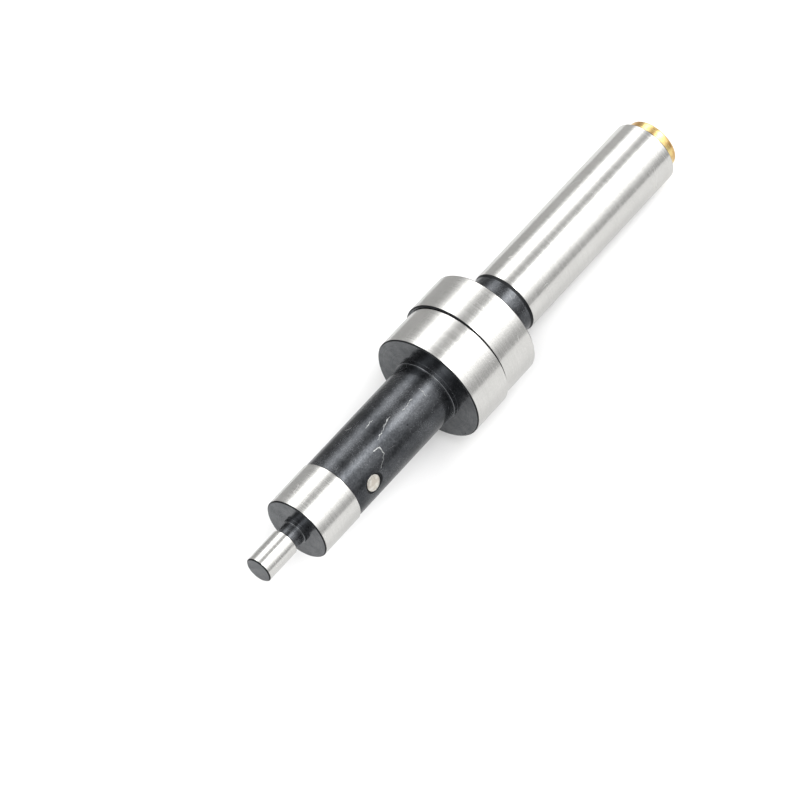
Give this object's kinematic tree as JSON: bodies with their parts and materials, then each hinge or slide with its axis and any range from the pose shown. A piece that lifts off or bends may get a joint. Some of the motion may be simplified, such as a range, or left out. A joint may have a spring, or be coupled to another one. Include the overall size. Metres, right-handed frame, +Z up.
{
  "type": "edge finder",
  "caption": "Mechanical edge finder: round shank and sprung stylus that meet on lapped discs, with a stepped head and tip and a brass end button.",
  "frame": {"origin": "on the shank's axis, in the plane of the stylus tip's end face", "axes": "+X along the shank's axis, from the stylus tip to the brass end; +Z up as the tool is drawn, with its axis level"},
  "size_m": [0.0888, 0.0176, 0.0172],
  "materials": {
    "ground_steel": "ground bright on the diameters, black oxide on the end faces, chamfers and neck",
    "blackened_steel": "black oxide, ground bright on the tip, head and disc diameters",
    "dowel_steel": "ground",
    "turned_brass": "turned",
    "spring_steel": "drawn wire"
  },
  "bodies": {
    "shank": {"shank": "ground_steel"},
    "plug_and_spring": {"end_plug": "turned_brass", "tension_spring": "spring_steel"},
    "stylus": {"stylus": "blackened_steel", "cross_pin": "dowel_steel"}
  },
  "joints": [
    {"name": "plug_swivel", "type": "hinge", "parent": "shank", "child": "plug_and_spring", "pos_m": [0.08696, 0, 0], "axis": [1, 0, 0], "continuous": true},
    {"name": "stylus_slide", "type": "slide", "parent": "plug_and_spring", "child": "stylus", "axis": [0, 1, 0], "range_m": [-0.00057, 0.00143], "deforming": ["tension_spring"]}
  ]
}
